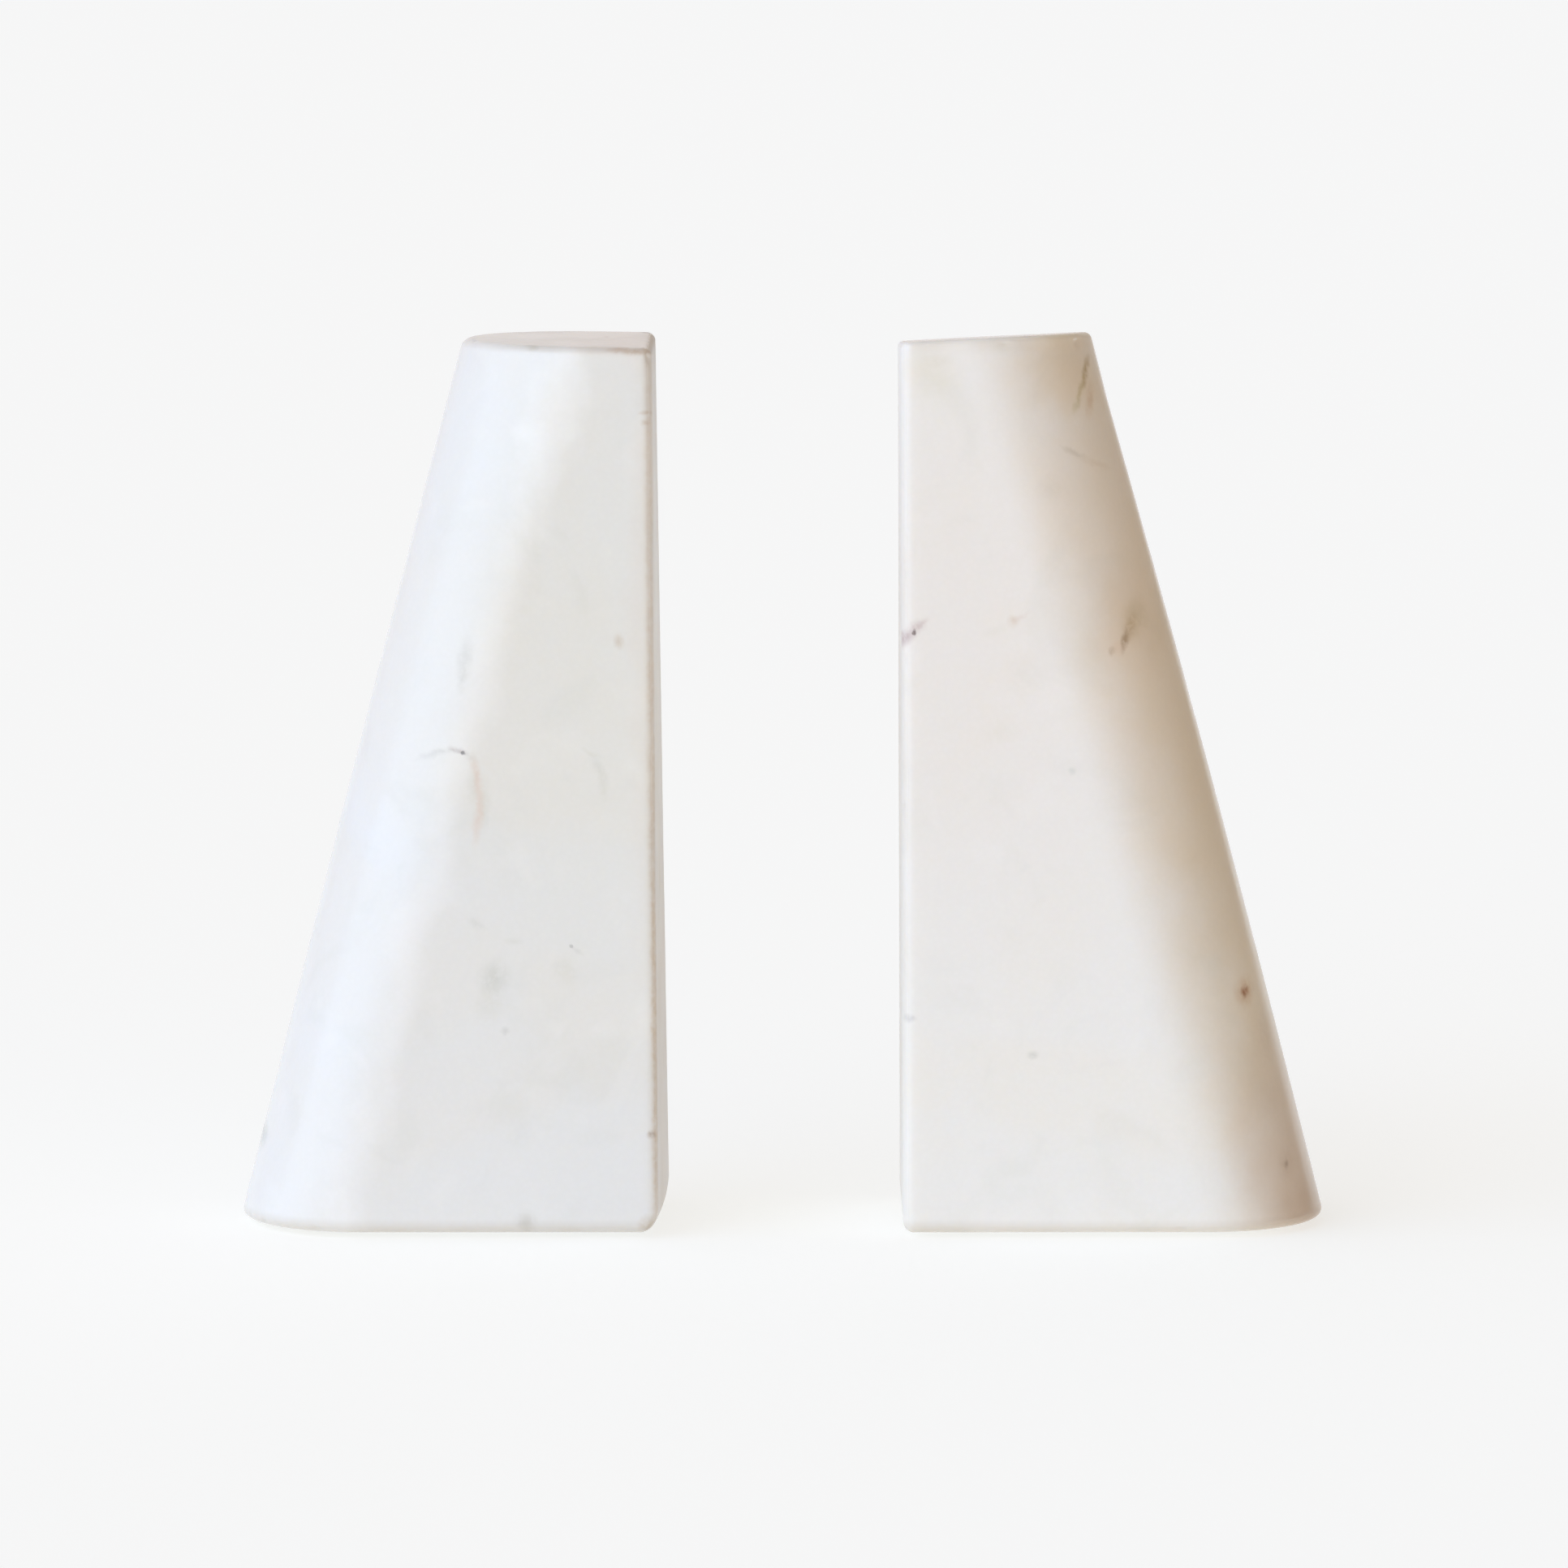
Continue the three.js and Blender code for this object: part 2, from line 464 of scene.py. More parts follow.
# The polish: worn edges are duller, and so is the book face, which is only honed.
EDGE_ROUGHER = 0.05
BOOK_FACE_ROUGHER = 0.3
BOOK_FACE_RANGE = (0.1, 0.9)
GRAIN_RELIEF = 0.25  # of the grain, for each part of the ripple
RELIEF_STRENGTH = 0.04
RELIEF_DEPTH = 0.2 * MM
MARBLE_SHADER = {
    "IOR": 1.6,
    "Subsurface Weight": 0.35,
    "Subsurface Radius": (1.0, 0.85, 0.65),
    "Subsurface Scale": 3.0 * MM,
}

# How far out a mark fades, in half sizes: from full strength to nothing.
SOFT = (0.0, 2.5)
FIRM = (0.6, 1.3)


def bent(nodes, place, scale, pull):
    """The place, pushed about by noise, so that marks laid out as ellipsoids look grown."""
    wander = nodes.add("ShaderNodeTexNoise", {"Vector": place, "Scale": scale, "Detail": BEND_DETAIL})
    terms = {0: wander.outputs["Color"], 1: NOISE_MIDDLE}
    centred = nodes.add("ShaderNodeVectorMath", terms, operation="SUBTRACT")
    pushed = nodes.add("ShaderNodeVectorMath", {0: centred.outputs[0], "Scale": pull}, operation="SCALE")
    moved = nodes.add("ShaderNodeVectorMath", {0: place, 1: pushed.outputs[0]}, operation="ADD")
    return moved.outputs[0]


def marked(nodes, colour, place, marks, breaks=1.0):
    """The colour, multiplied by each mark's tint where the mark lies."""
    for centre, half_size, turn, tint, fade in marks:
        spot = nodes.add("ShaderNodeMapping", {"Vector": place}, vector_type="TEXTURE")
        spot.inputs["Location"].default_value = [c * MM for c in centre]
        spot.inputs["Rotation"].default_value = (0, math.radians(turn), 0)
        spot.inputs["Scale"].default_value = [s * MM for s in half_size]
        length = nodes.add("ShaderNodeVectorMath", {0: spot.outputs[0]}, operation="LENGTH")
        cover = nodes.span(length.outputs["Value"], *fade, 1.0, 0.0)
        colour = nodes.tinted(nodes.math("MULTIPLY", cover, breaks), colour, tint)
    return colour


def crystal_grain(nodes, place):
    """The distance from the middle of each crystal."""
    grain = nodes.add("ShaderNodeTexVoronoi", {"Vector": place, "Scale": GRAIN_SCALE}, feature="F1")
    return grain.outputs["Distance"]


def stone_body(nodes, place, grain, side):
    """White marble without its marks: clouds between a cool and a warm white, and crystal grain."""
    tone = TONE[side]
    warm = [t * w for t, w in zip(tone, WARM_CLOUD)]
    cloud = nodes.span(nodes.noise(place, *WARM_NOISE), *WARM_RANGE)
    colour = nodes.mix(cloud, rgb(*tone), rgb(*warm))
    grey = nodes.span(nodes.noise(place, *GREY_NOISE), *GREY_RANGE)
    colour = nodes.tinted(grey, colour, GREY_CLOUD)
    milk = nodes.span(nodes.noise(place, *MILK_NOISE), *MILK_RANGE)
    colour = nodes.mix(milk, colour, rgb(*MILK))
    return nodes.tinted(nodes.span(grain, *GRAIN_RANGE), colour, GRAIN_TINT)


def stained_and_shaded(nodes, colour, place, own_place, edge):
    """Brown on the edges, unevenly, partly dirt and partly painted reflection and shade; painted shade
    above the shelf.
    """
    patch = nodes.span(nodes.noise(own_place, *DIRT_AND_SHADE_NOISE), *DIRT_AND_SHADE_RANGE)
    edge_dirt_and_shade = nodes.math("MULTIPLY", nodes.span(edge, *DIRT_AND_SHADE_EDGE), patch)
    # Brown on the edges: partly dirt, partly painted reflection and shade.
    colour = nodes.tinted(edge_dirt_and_shade, colour, DIRT_AND_SHADE_TINT)
    height = nodes.add("ShaderNodeSeparateXYZ", {"Vector": place}).outputs["Z"]
    # Painted shade just above the shelf.
    return nodes.tinted(nodes.span(height, *LOW_SHADE_FADE, 1.0, 0.0), colour, LOW_SHADE_TINT)


def hand_polish(nodes, own_place, edge):
    """The roughness of a polish that is uneven, and duller on the edges and on the book face."""
    book_face = nodes.add("ShaderNodeAttribute", attribute_name="book_face").outputs["Fac"]
    haze = nodes.span(nodes.noise(own_place, *HAZE_NOISE), *HAZE_RANGE)
    roughness = nodes.math("ADD", haze, nodes.math("MULTIPLY", edge, EDGE_ROUGHER))
    honed = nodes.math("MULTIPLY", nodes.span(book_face, *BOOK_FACE_RANGE), BOOK_FACE_ROUGHER)
    return nodes.math("ADD", roughness, honed)


def marble_material(side, marks, zones, skins):
    """White marble: its body, this stone's own zones, skins and marks, darker edges, and a polish."""
    nodes = Nodes(bpy.data.materials.new(f"{side}_marble"))
    place = nodes.add("ShaderNodeTexCoord").outputs["Object"]
    start = nodes.add("ShaderNodeMapping", {"Vector": place, "Location": NOISE_START[side]})
    own_place = start.outputs["Vector"]
    edge = nodes.add("ShaderNodeAttribute", attribute_name="edge_wear_and_shade").outputs["Fac"]
    grain = crystal_grain(nodes, own_place)

    colour = stone_body(nodes, own_place, grain, side)
    colour = marked(nodes, colour, bent(nodes, place, *ZONE_BEND), zones)
    colour = marked(nodes, colour, place, skins)
    breaks = nodes.span(nodes.noise(own_place, *BREAK_NOISE), *BREAK_RANGE)
    colour = marked(nodes, colour, bent(nodes, place, *MARK_BEND), marks, breaks)
    colour = stained_and_shaded(nodes, colour, place, own_place, edge)

    ripple = nodes.noise(own_place, *RIPPLE_NOISE)
    relief = nodes.math("ADD", ripple, nodes.math("MULTIPLY", grain, GRAIN_RELIEF))
    nodes.surface({
        "Base Color": colour,
        "Roughness": hand_polish(nodes, own_place, edge),
        "Normal": nodes.bump(relief, RELIEF_STRENGTH, RELIEF_DEPTH),
        **MARBLE_SHADER,
    })
    return nodes.owner


# Marks in the stones, given one by one: centre and half sizes in mm in the row frame, turn about +Y in
# degrees, tint, and fade. The half size through the skin only has to be enough to show. Most are natural
# marks; some, as noted at each, are painted highlight and painted shade. Marks are bent a little and
# broken up, zones are bent a lot, and skins lie thinly on one face and aren't bent.
GREY = (0.93, 0.93, 0.925)
GREY_GREEN = (0.95, 0.95, 0.93)
PINK = (0.965, 0.89, 0.855)

LEFT_MARKS = [
    # A dark crystal with a thin tail, and the faint arc that runs out from it.
    ((-62.7, -25.1, 97.6), (0.5, 3, 0.4), 0, (0.42, 0.42, 0.43), FIRM),
    ((-63.7, -24.9, 98.0), (1.1, 3, 0.35), 15, (0.72, 0.68, 0.68), SOFT),
    ((-68.9, -23.2, 97.0), (2.0, 4, 0.5), -18, (0.89, 0.89, 0.89), SOFT),
    ((-66.4, -24.2, 97.8), (1.4, 3, 0.35), 0, GREY, SOFT),
    ((-60.9, -25.3, 96.7), (0.9, 3, 0.5), 30, GREY, SOFT),
    # The pink vein below it, with a grey-green border.
    ((-60.2, -25.4, 94.2), (0.55, 3, 1.7), -10, PINK, SOFT),
    ((-59.5, -25.4, 89.4), (0.6, 3, 3.1), -3, PINK, SOFT),
    ((-59.8, -25.4, 83.6), (0.6, 3, 2.6), 8, PINK, SOFT),
    ((-60.7, -25.4, 91.2), (0.7, 3, 2.4), 0, GREY_GREEN, SOFT),
    ((-58.3, -25.4, 87.2), (0.6, 3, 3.0), 0, GREY_GREEN, SOFT),
    # A slanting grey cloud, and a tan spot near the book face.
    ((-62.3, -24.2, 115.6), (0.9, 4, 2.6), 8, (0.89, 0.885, 0.875), SOFT),
    ((-62.9, -24.2, 111.6), (0.5, 3, 1.4), 10, GREY, SOFT),
    ((-31.9, -25.4, 119.6), (0.6, 3, 0.8), 0, (0.87, 0.81, 0.75), SOFT),
    # A thin grey thread.
    ((-37.4, -25.4, 97.4), (1.4, 3, 0.35), 25, GREY_GREEN, SOFT),
    ((-35.9, -25.4, 94.4), (0.6, 3, 1.5), -30, (0.92, 0.925, 0.92), SOFT),
    ((-34.9, -25.4, 90.6), (0.6, 3, 1.6), -3, GREY_GREEN, SOFT),
    # Smudges and specks lower down.
    ((-60.3, -25.4, 63.4), (1.1, 4, 0.6), 30, GREY, SOFT),
    ((-52.9, -25.4, 60.0), (1.1, 3, 0.4), 0, GREY_GREEN, SOFT),
    ((-56.7, -25.4, 52.6), (1.7, 4, 2.1), 20, (0.86, 0.865, 0.84), SOFT),
    ((-57.6, -25.4, 47.3), (1.8, 4, 2.0), 0, GREY_GREEN, SOFT),
    ((-54.5, -25.4, 41.9), (0.6, 3, 0.5), 0, (0.87, 0.87, 0.87), SOFT),
    ((-41.5, -25.4, 59.2), (0.45, 3, 0.4), 0, (0.76, 0.76, 0.76), FIRM),
    ((-40.3, -25.4, 58.2), (0.9, 3, 0.3), 40, GREY, SOFT),
    ((-42.4, -25.4, 54.2), (1.6, 4, 1.6), 0, GREY_GREEN, SOFT),
    ((-50.6, -25.3, 3.6), (1.2, 3, 1.2), 0, (0.84, 0.83, 0.80), SOFT),
    ((-104.6, -4.0, 18.3), (1.2, 6, 1.6), 15, (0.72, 0.73, 0.71), SOFT),
    # Browned edges: painted reflection and shade up the front of the book face, and stains along the
    # front of the top.
    ((-24.8, -25.2, 80.0), (0.7, 1.0, 80), -0.5, (0.88, 0.81, 0.75), SOFT),
    ((-25.6, -25.0, 21.2), (0.5, 2, 0.5), 0, (0.62, 0.54, 0.49), SOFT),
    ((-24.6, -25.0, 34.0), (0.5, 0.9, 28), -0.5, (0.91, 0.85, 0.76), SOFT),
    ((-25.8, -25.0, 2.8), (1.3, 1.6, 1.2), 0, (0.80, 0.73, 0.65), SOFT),
    ((-28.3, -25.0, 176.8), (1.8, 1.5, 0.5), 0, (0.80, 0.70, 0.61), SOFT),
    ((-32.0, -25.0, 177.1), (1.4, 1.5, 0.4), 0, (0.88, 0.80, 0.74), SOFT),
    ((-48.8, -22.5, 177.8), (1.0, 2, 0.6), 0, (0.82, 0.81, 0.77), SOFT),
    ((-26.5, -25.0, 164.6), (0.9, 1.5, 0.3), 0, (0.85, 0.78, 0.72), SOFT),
    ((-26.5, -25.0, 162.6), (0.7, 1.5, 0.3), 0, (0.88, 0.82, 0.77), SOFT),
    ((-34.8, 6.5, 177.9), (0.5, 1.6, 1.0), 0, (0.80, 0.78, 0.78), SOFT),
    # Not in the photograph: a grey thread, a pink one and a speck at the back, and a streak and a cloud
    # on the book face.
    ((-52.0, 25.4, 118.0), (0.5, 3, 9.0), 28, (0.90, 0.90, 0.895), SOFT),
    ((-57.5, 25.4, 107.0), (0.4, 3, 4.0), 12, GREY, SOFT),
    ((-41.0, 25.4, 61.0), (0.6, 3, 4.5), -20, PINK, SOFT),
    ((-66.0, 24.0, 38.0), (0.5, 3, 0.5), 0, (0.76, 0.75, 0.74), FIRM),
    ((-64.0, 24.5, 39.0), (2.2, 4, 1.0), -25, GREY, SOFT),
    ((-24.4, 8.0, 132.0), (2, 0.5, 6.0), 0, (0.91, 0.90, 0.89), SOFT),
    ((-24.2, -6.0, 70.0), (2, 1.8, 2.4), 0, GREY_GREEN, SOFT),
]
RIGHT_MARKS = [
    # A dark crystal in a mauve streak.
    ((26.4, -25.4, 121.4), (0.55, 3, 0.55), 0, (0.30, 0.25, 0.25), FIRM),
    ((25.4, -25.3, 121.0), (2.4, 3, 0.8), -40, (0.80, 0.74, 0.75), SOFT),
    ((24.2, -24.5, 119.9), (1.0, 3, 0.9), -30, (0.85, 0.80, 0.82), SOFT),
    ((27.6, -25.4, 122.8), (1.2, 3, 0.4), -35, (0.92, 0.88, 0.88), SOFT),
    # A pink spot with a wing.
    ((45.9, -25.4, 123.5), (0.7, 3, 0.7), 0, (0.91, 0.86, 0.81), SOFT),
    ((47.2, -25.4, 124.3), (1.2, 3, 0.35), -30, (0.96, 0.93, 0.92), SOFT),
    ((42.4, -25.4, 121.6), (1.6, 3, 0.6), -20, (0.975, 0.98, 0.965), SOFT),
    # An olive cloud and brown flecks on the round end.
    ((69.9, -17.7, 123.3), (1.6, 4, 2.6), 15, (0.87, 0.85, 0.78), SOFT),
    ((69.0, -18.8, 121.6), (0.7, 3, 1.8), 20, (0.86, 0.81, 0.74), SOFT),
    ((68.1, -20.3, 119.2), (0.45, 3, 1.3), 12, (0.66, 0.60, 0.54), SOFT),
    ((66.8, -21.4, 118.0), (1.2, 3, 1.0), -30, (0.975, 0.94, 0.92), SOFT),
    ((65.4, -22.4, 117.2), (0.45, 3, 0.5), 0, (0.82, 0.78, 0.74), SOFT),
    # Grey specks.
    ((57.7, -25.4, 94.0), (0.5, 3, 0.5), 0, (0.89, 0.91, 0.91), SOFT),
    ((43.5, -25.4, 101.5), (2.2, 3, 1.2), 0, (0.975, 0.98, 0.97), SOFT),
    ((25.5, -25.1, 44.5), (0.7, 3, 0.4), 0, (0.81, 0.81, 0.82), SOFT),
    ((49.9, -25.4, 37.2), (0.7, 3, 0.5), 0, (0.83, 0.84, 0.83), SOFT),
    # The olive vein and its brown branch, by the top outer corner.
    ((60.4, -11.8, 172.2), (0.45, 4, 1.8), 10, (0.70, 0.64, 0.52), SOFT),
    ((59.6, -14.2, 169.2), (0.4, 4, 2.2), 12, (0.82, 0.79, 0.67), SOFT),
    ((58.5, -16.7, 166.2), (0.4, 4, 1.4), 14, (0.87, 0.87, 0.77), SOFT),
    ((61.2, -13.5, 166.6), (0.5, 3, 2.0), 5, (0.90, 0.83, 0.77), SOFT),
    ((44.0, -16.0, 178.0), (1.4, 2.5, 0.7), 0, (0.90, 0.86, 0.80), SOFT),
    ((30.8, -25.4, 175.0), (1.8, 3, 0.8), 0, (0.96, 0.95, 0.93), SOFT),
    # A thin dark thread below it, and a grey cloud.
    ((57.8, -20.2, 156.6), (1.6, 4, 0.3), 25, (0.87, 0.86, 0.84), SOFT),
    ((62.0, -16.8, 154.2), (2.6, 4, 0.4), 22, (0.95, 0.93, 0.91), SOFT),
    ((53.0, -23.8, 149.6), (1.6, 4, 1.6), 0, (0.955, 0.95, 0.94), SOFT),
    # A red-brown spot with a halo, and a grey one.
    ((92.4, -15.0, 48.4), (0.5, 3, 0.7), 0, (0.58, 0.40, 0.34), SOFT),
    ((92.4, -15.0, 48.4), (1.2, 4, 1.6), 0, (0.84, 0.72, 0.63), SOFT),
    ((101.0, -15.4, 13.8), (0.45, 3, 0.5), 0, (0.72, 0.68, 0.66), SOFT),
    ((101.0, -15.4, 13.8), (1.0, 4, 1.6), 0, (0.93, 0.91, 0.89), SOFT),
    ((97.0, -11.3, 39.4), (2.0, 5, 3.2), 0, (0.95, 0.93, 0.92), SOFT),
    # Not in the photograph: a thread, a spot and a cloud at the back, and a streak and a cloud on the
    # book face.
    ((46.0, 25.4, 96.0), (0.5, 3, 11.0), -24, (0.91, 0.90, 0.88), SOFT),
    ((50.5, 25.4, 84.0), (0.4, 3, 5.0), -38, (0.93, 0.91, 0.88), SOFT),
    ((64.0, 23.5, 50.0), (0.9, 4, 1.2), 20, (0.86, 0.74, 0.66), SOFT),
    ((38.0, 25.4, 146.0), (2.4, 4, 1.4), 15, (0.95, 0.94, 0.91), SOFT),
    ((24.2, 4.0, 108.0), (2, 0.5, 7.0), 0, (0.92, 0.90, 0.88), SOFT),
    ((24.2, -9.0, 44.0), (2, 2.0, 1.5), 0, (0.93, 0.91, 0.89), SOFT),
]
LEFT_ZONES = [
    # A warmer upper half, most of it by the book face.
    ((-40.0, -25.0, 116.0), (19, 40, 48), 0, (0.99, 0.978, 0.935), SOFT),
    ((-26.5, -25.0, 150.0), (2.2, 6, 45), 0, (0.99, 0.965, 0.945), SOFT),
    # Painted highlight: paler bands where the front turns into the round end, widening the window's
    # highlight there.
    ((-65.0, -25.0, 88.0), (2.4, 20, 90), 15, (1.045, 1.045, 1.055), SOFT),
    ((-44.0, -25.0, 165.0), (2.4, 20, 16), 15, (1.05, 1.06, 1.075), SOFT),
]
LEFT_SKINS = [
    # The top is a little browner by the book face. The lower half of the book face is browner and darker:
    # painted shade.
    ((-30.0, -5.0, 178.0), (9, 25, 1.2), 0, (0.91, 0.85, 0.82), SOFT),
    ((-23.8, 0.0, 30.0), (0.9, 34, 46), 0, (0.90, 0.85, 0.80), SOFT),
    # The upper half of the book face is paler: painted light.
    ((-24.6, 2.0, 140.0), (0.5, 32, 50), -0.5, (1.075, 1.08, 1.085), SOFT),
]
RIGHT_ZONES = [
    # Warm stone over the upper part, round the flecks and the vein, and in the top corner by the book
    # face.
    # Down the round end, warmer and darker: painted shade, partly warm stone. Darker still at its foot:
    # painted shade.
    ((50.0, -15.0, 125.0), (38, 40, 42), 0, (1.0, 0.965, 0.945), SOFT),
    # Painted shade on the side turned from the light, partly warm stone.
    ((86.0, -4.0, 88.0), (10, 35, 85), -15, (0.945, 0.845, 0.69), SOFT),
    ((56.0, -15.0, 171.0), (7, 22, 5), 0, (0.96, 0.90, 0.81), SOFT),
    ((69.0, -17.0, 122.0), (4, 12, 7), -15, (0.97, 0.94, 0.91), SOFT),
    # Painted shade at the foot of the round end.
    ((105.0, -4.0, 8.0), (8, 26, 19), -15, (0.87, 0.79, 0.75), SOFT),
    ((106.0, -12.0, 3.0), (6, 16, 4), -15, (0.92, 0.89, 0.86), SOFT),
    ((30.5, -25.0, 171.5), (4.0, 8, 3.2), 0, (0.98, 0.965, 0.915), SOFT),
]
RIGHT_SKINS = [
    # A paler rim at the outer end of the top.
    ((54.5, -14.0, 178.0), (3.2, 8, 1.2), 0, (1.07, 1.07, 1.05), SOFT),
    # A slightly warmer book face. The photograph shows only its front edge.
    ((23.8, 0.0, 60.0), (0.9, 34, 70), 0, (0.985, 0.97, 0.94), SOFT),
]


# The feet's rubber: clean and dusty colours, and its noises as for the marble.
RUBBER = (0.72, 0.71, 0.67)
RUBBER_DUST = (0.56, 0.54, 0.5)
DUST_NOISE = (900.0, 4.0)
DUST_RANGE = (0.45, 0.7, 0.0, 0.4)
GLOSS_NOISE = (1500.0, 2.0)
GLOSS_RANGE = (0.3, 0.7, 0.42, 0.6)  # the range of noise, then of roughness
TEXTURE_NOISE = (5200.0, 2.0)
TEXTURE_STRENGTH = 0.25
TEXTURE_DEPTH = 0.05 * MM
RUBBER_SHADER = {
    "IOR": 1.5,
    "Subsurface Weight": 0.5,
    "Subsurface Radius": (1.0, 0.95, 0.8),
    "Subsurface Scale": 0.6 * MM,
}


def foot_material():
    """Milky polyurethane rubber with a fine moulded texture and a little dust."""
    nodes = Nodes(bpy.data.materials.new("foot_rubber"))
    place = nodes.add("ShaderNodeTexCoord").outputs["Object"]
    dust = nodes.span(nodes.noise(place, *DUST_NOISE), *DUST_RANGE)
    texture = nodes.noise(place, *TEXTURE_NOISE)
    nodes.surface({
        "Base Color": nodes.mix(dust, rgb(*RUBBER), rgb(*RUBBER_DUST)),
        "Roughness": nodes.span(nodes.noise(place, *GLOSS_NOISE), *GLOSS_RANGE),
        "Normal": nodes.bump(texture, TEXTURE_STRENGTH, TEXTURE_DEPTH),
        **RUBBER_SHADER,
    })
    return nodes.owner


# ---------------------------------------------------------------------------------------------
# The feet: moulded discs with a recessed sole and a rounded rim, glued to the stone
# ---------------------------------------------------------------------------------------------
FOOT_RIM = 0.35 * MM  # radius of the rounded rim
SOLE_RECESS = 0.12 * MM
RECESS_FLAT = 0.55  # radius of the flat part of the recess, as a share of the foot's own
RECESS_EDGE = 0.6  # radius where the sole comes down to the shelf, as a share too
GLUE_SHOULDER = 0.9  # where the wall starts to draw in below the stone, as a share of the foot's height
GLUE_INSET = 0.1 * MM
FOOT_SEGMENTS = 64
FOOT_RIM_STEPS = 5


def foot_profile(radius, height):
    """(radius, height) up one side: recessed sole, rounded rim, wall, and the glued upper face."""
    profile = [(0.0, SOLE_RECESS), (radius * RECESS_FLAT, SOLE_RECESS)]
    profile += [(radius * RECESS_EDGE, 0.0), (radius - FOOT_RIM, 0.0)]
    for i in range(1, FOOT_RIM_STEPS + 1):
        angle = math.pi / 2 * i / FOOT_RIM_STEPS
        out = radius - FOOT_RIM + FOOT_RIM * math.sin(angle)
        profile.append((out, FOOT_RIM * (1 - math.cos(angle))))
    profile += [(radius, height * GLUE_SHOULDER), (radius - GLUE_INSET, height), (0.0, height)]
    return profile


def foot_ring(centre, radius, height):
    ring = []
    for i in range(FOOT_SEGMENTS):
        angle = 2 * math.pi * i / FOOT_SEGMENTS
        x = centre.x + radius * math.cos(angle)
        y = centre.y + radius * math.sin(angle)
        ring.append(Vector((x, y, height)))
    return ring


def make_foot(node, side, material):
    low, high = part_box(node)
    centre = (low + high) / 2
    radius = (high.x - low.x) / 2
    stone_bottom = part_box(f"{side}_marble_block")[0].z
    rings = [foot_ring(centre, out, height) for out, height in foot_profile(radius, stone_bottom)]
    obj = loft(node.replace("_foot_", "_rubber_foot_"), rings)
    obj.data.materials.append(material)
    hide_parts(node)
    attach(obj, f"{side}_bookend")


# ---------------------------------------------------------------------------------------------
# Floor and light
# ---------------------------------------------------------------------------------------------
FLOOR_HALF = 30.0  # half its side
# White paper. Its glow evens out the room's tint, so that it looks plain.
FLOOR_SHADER = {
    "Base Color": rgb(0.5, 0.5, 0.5),
    "Roughness": 1.0,
    "Specular IOR Level": 0.0,
    "Emission Color": rgb(0.592, 0.606, 0.604),
    "Emission Strength": 1.0,
}
BACKDROP = (0.922, 0.922, 0.922)

# The room, going round it in degrees: 0 is towards the camera, positive is to the right. A broad window
# stands at the left of the camera, and the right-hand side is a dim, warm wall.
ROOM = [
    (-180, (0.86, 0.80, 0.77)),
    (-140, (0.82, 0.75, 0.73)),
    (-110, (0.79, 0.73, 0.74)),
    (-97, (0.84, 0.79, 0.84)),
    (-87, (1.36, 1.54, 1.90)),
    (-75, (1.42, 1.62, 2.02)),
    (-60, (1.60, 1.90, 2.42)),
    (-45, (1.70, 2.04, 2.60)),
    (-30, (1.82, 2.08, 2.48)),
    (-15, (1.52, 1.56, 1.52)),
    (5, (0.82, 0.64, 0.45)),
    (30, (0.60, 0.41, 0.20)),
    (55, (0.24, 0.11, 0.05)),
    (80, (0.08, 0.03, 0.02)),
    (110, (0.10, 0.05, 0.03)),
    (145, (0.38, 0.31, 0.24)),
    (168, (0.66, 0.60, 0.54)),
    (180, (0.86, 0.80, 0.77)),
]
CEILING = (0.52, 0.485, 0.45)
CEILING_STARTS = 0.6  # height on the unit sphere
CEILING_FULL = 0.85
BRIGHTEST = 3.0


def add_floor():
    mesh = bmesh.new()
    corners = [(-1, -1), (1, -1), (1, 1), (-1, 1)]
    mesh.faces.new([mesh.verts.new((x * FLOOR_HALF, y * FLOOR_HALF, 0.0)) for x, y in corners])
    data = bpy.data.meshes.new("floor")
    mesh.to_mesh(data)
    mesh.free()
    nodes = Nodes(bpy.data.materials.new("floor_paper"))
    nodes.surface(FLOOR_SHADER)
    data.materials.append(nodes.owner)
    add_object("floor", data)


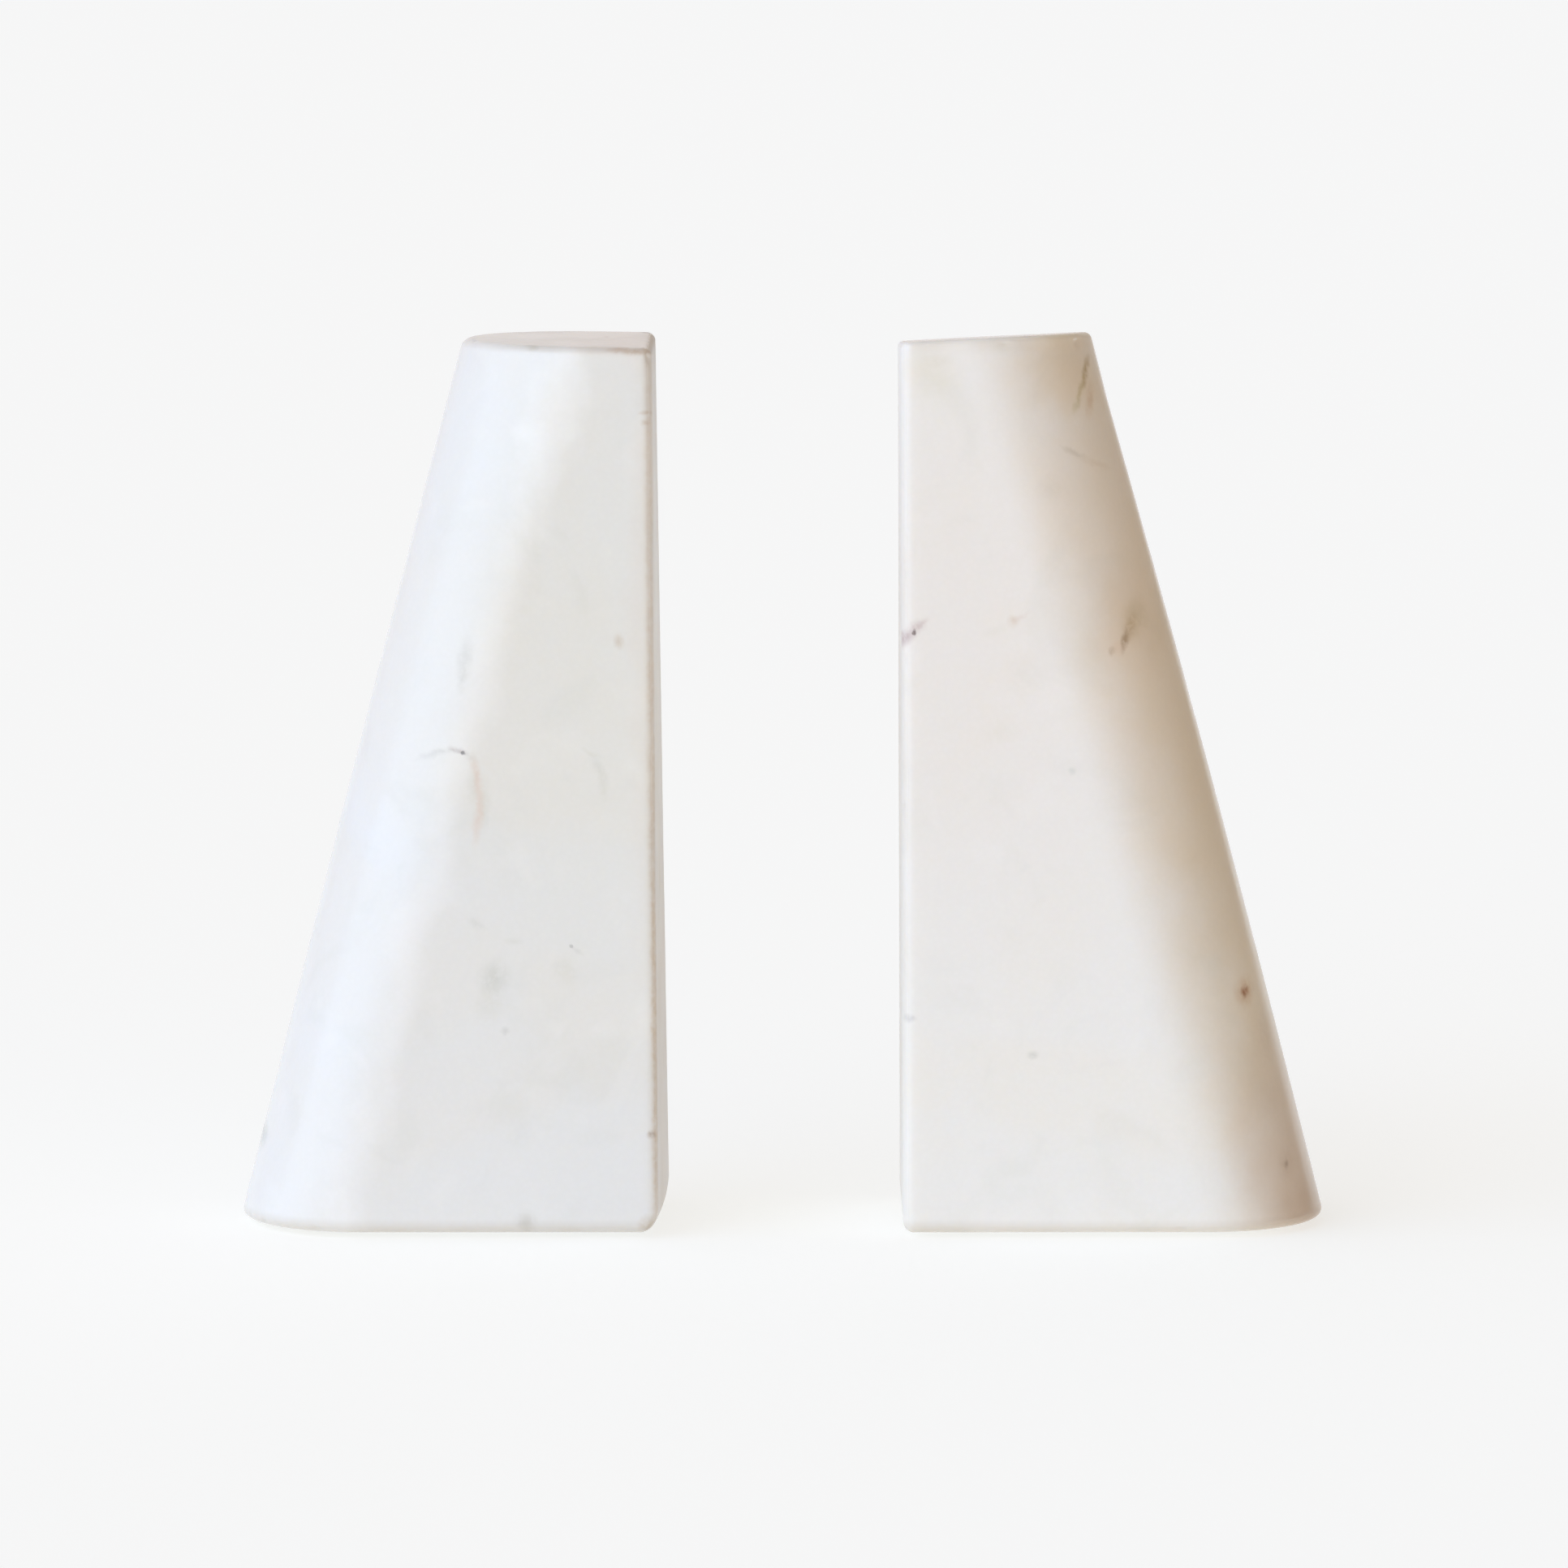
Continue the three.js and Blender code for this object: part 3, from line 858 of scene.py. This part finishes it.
def dimmed(colour):
    """A colour of the room as a share of the brightest value, which the light's strength brings back."""
    return rgb(*[c / BRIGHTEST for c in colour])


def room_walls(nodes, bearing):
    """The colour of the walls at this bearing, which is in radians."""
    share = nodes.math("ADD", nodes.math("DIVIDE", bearing, 2 * math.pi), 0.5)
    ramp = nodes.add("ShaderNodeValToRGB", {"Fac": share})
    stops = ramp.color_ramp.elements
    while len(stops) < len(ROOM):
        stops.new(0.5)  # anywhere: each is put in its place below
    for stop, (degrees, colour) in zip(stops, ROOM):
        stop.position = degrees / 360 + 0.5
        stop.color = dimmed(colour)
    return ramp.outputs["Color"]


def add_light():
    """Soft light from the whole room. The camera itself sees a plain pale backdrop."""
    world = bpy.data.worlds.new("room")
    bpy.context.scene.world = world
    nodes = Nodes(world)
    direction = nodes.add("ShaderNodeTexCoord").outputs["Generated"]
    parts = nodes.add("ShaderNodeSeparateXYZ", {"Vector": direction}).outputs
    bearing = nodes.math("ARCTAN2", parts["X"], nodes.math("MULTIPLY", parts["Y"], -1.0))
    above = nodes.span(parts["Z"], CEILING_STARTS, CEILING_FULL)
    lit = nodes.mix(above, room_walls(nodes, bearing), dimmed(CEILING))
    room_light = nodes.add("ShaderNodeBackground", {"Color": lit, "Strength": BRIGHTEST})
    backdrop = nodes.add("ShaderNodeBackground", {"Color": rgb(*BACKDROP), "Strength": 1.0})
    seen = nodes.add("ShaderNodeLightPath").outputs["Is Camera Ray"]
    mixed = nodes.add("ShaderNodeMixShader", {0: seen, 1: room_light.outputs[0], 2: backdrop.outputs[0]})
    nodes.add("ShaderNodeOutputWorld", {"Surface": mixed.outputs[0]})


def main():
    add_camera()
    add_light()
    add_floor()
    make_stone("left", marble_material("left", LEFT_MARKS, LEFT_ZONES, LEFT_SKINS))
    make_stone("right", marble_material("right", RIGHT_MARKS, RIGHT_ZONES, RIGHT_SKINS))
    rubber = foot_material()
    for node in sorted(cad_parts):
        if "_foot_" in node:
            make_foot(node, node.split("_")[0], rubber)
    bpy.context.scene.view_settings.view_transform = "Standard"


main()
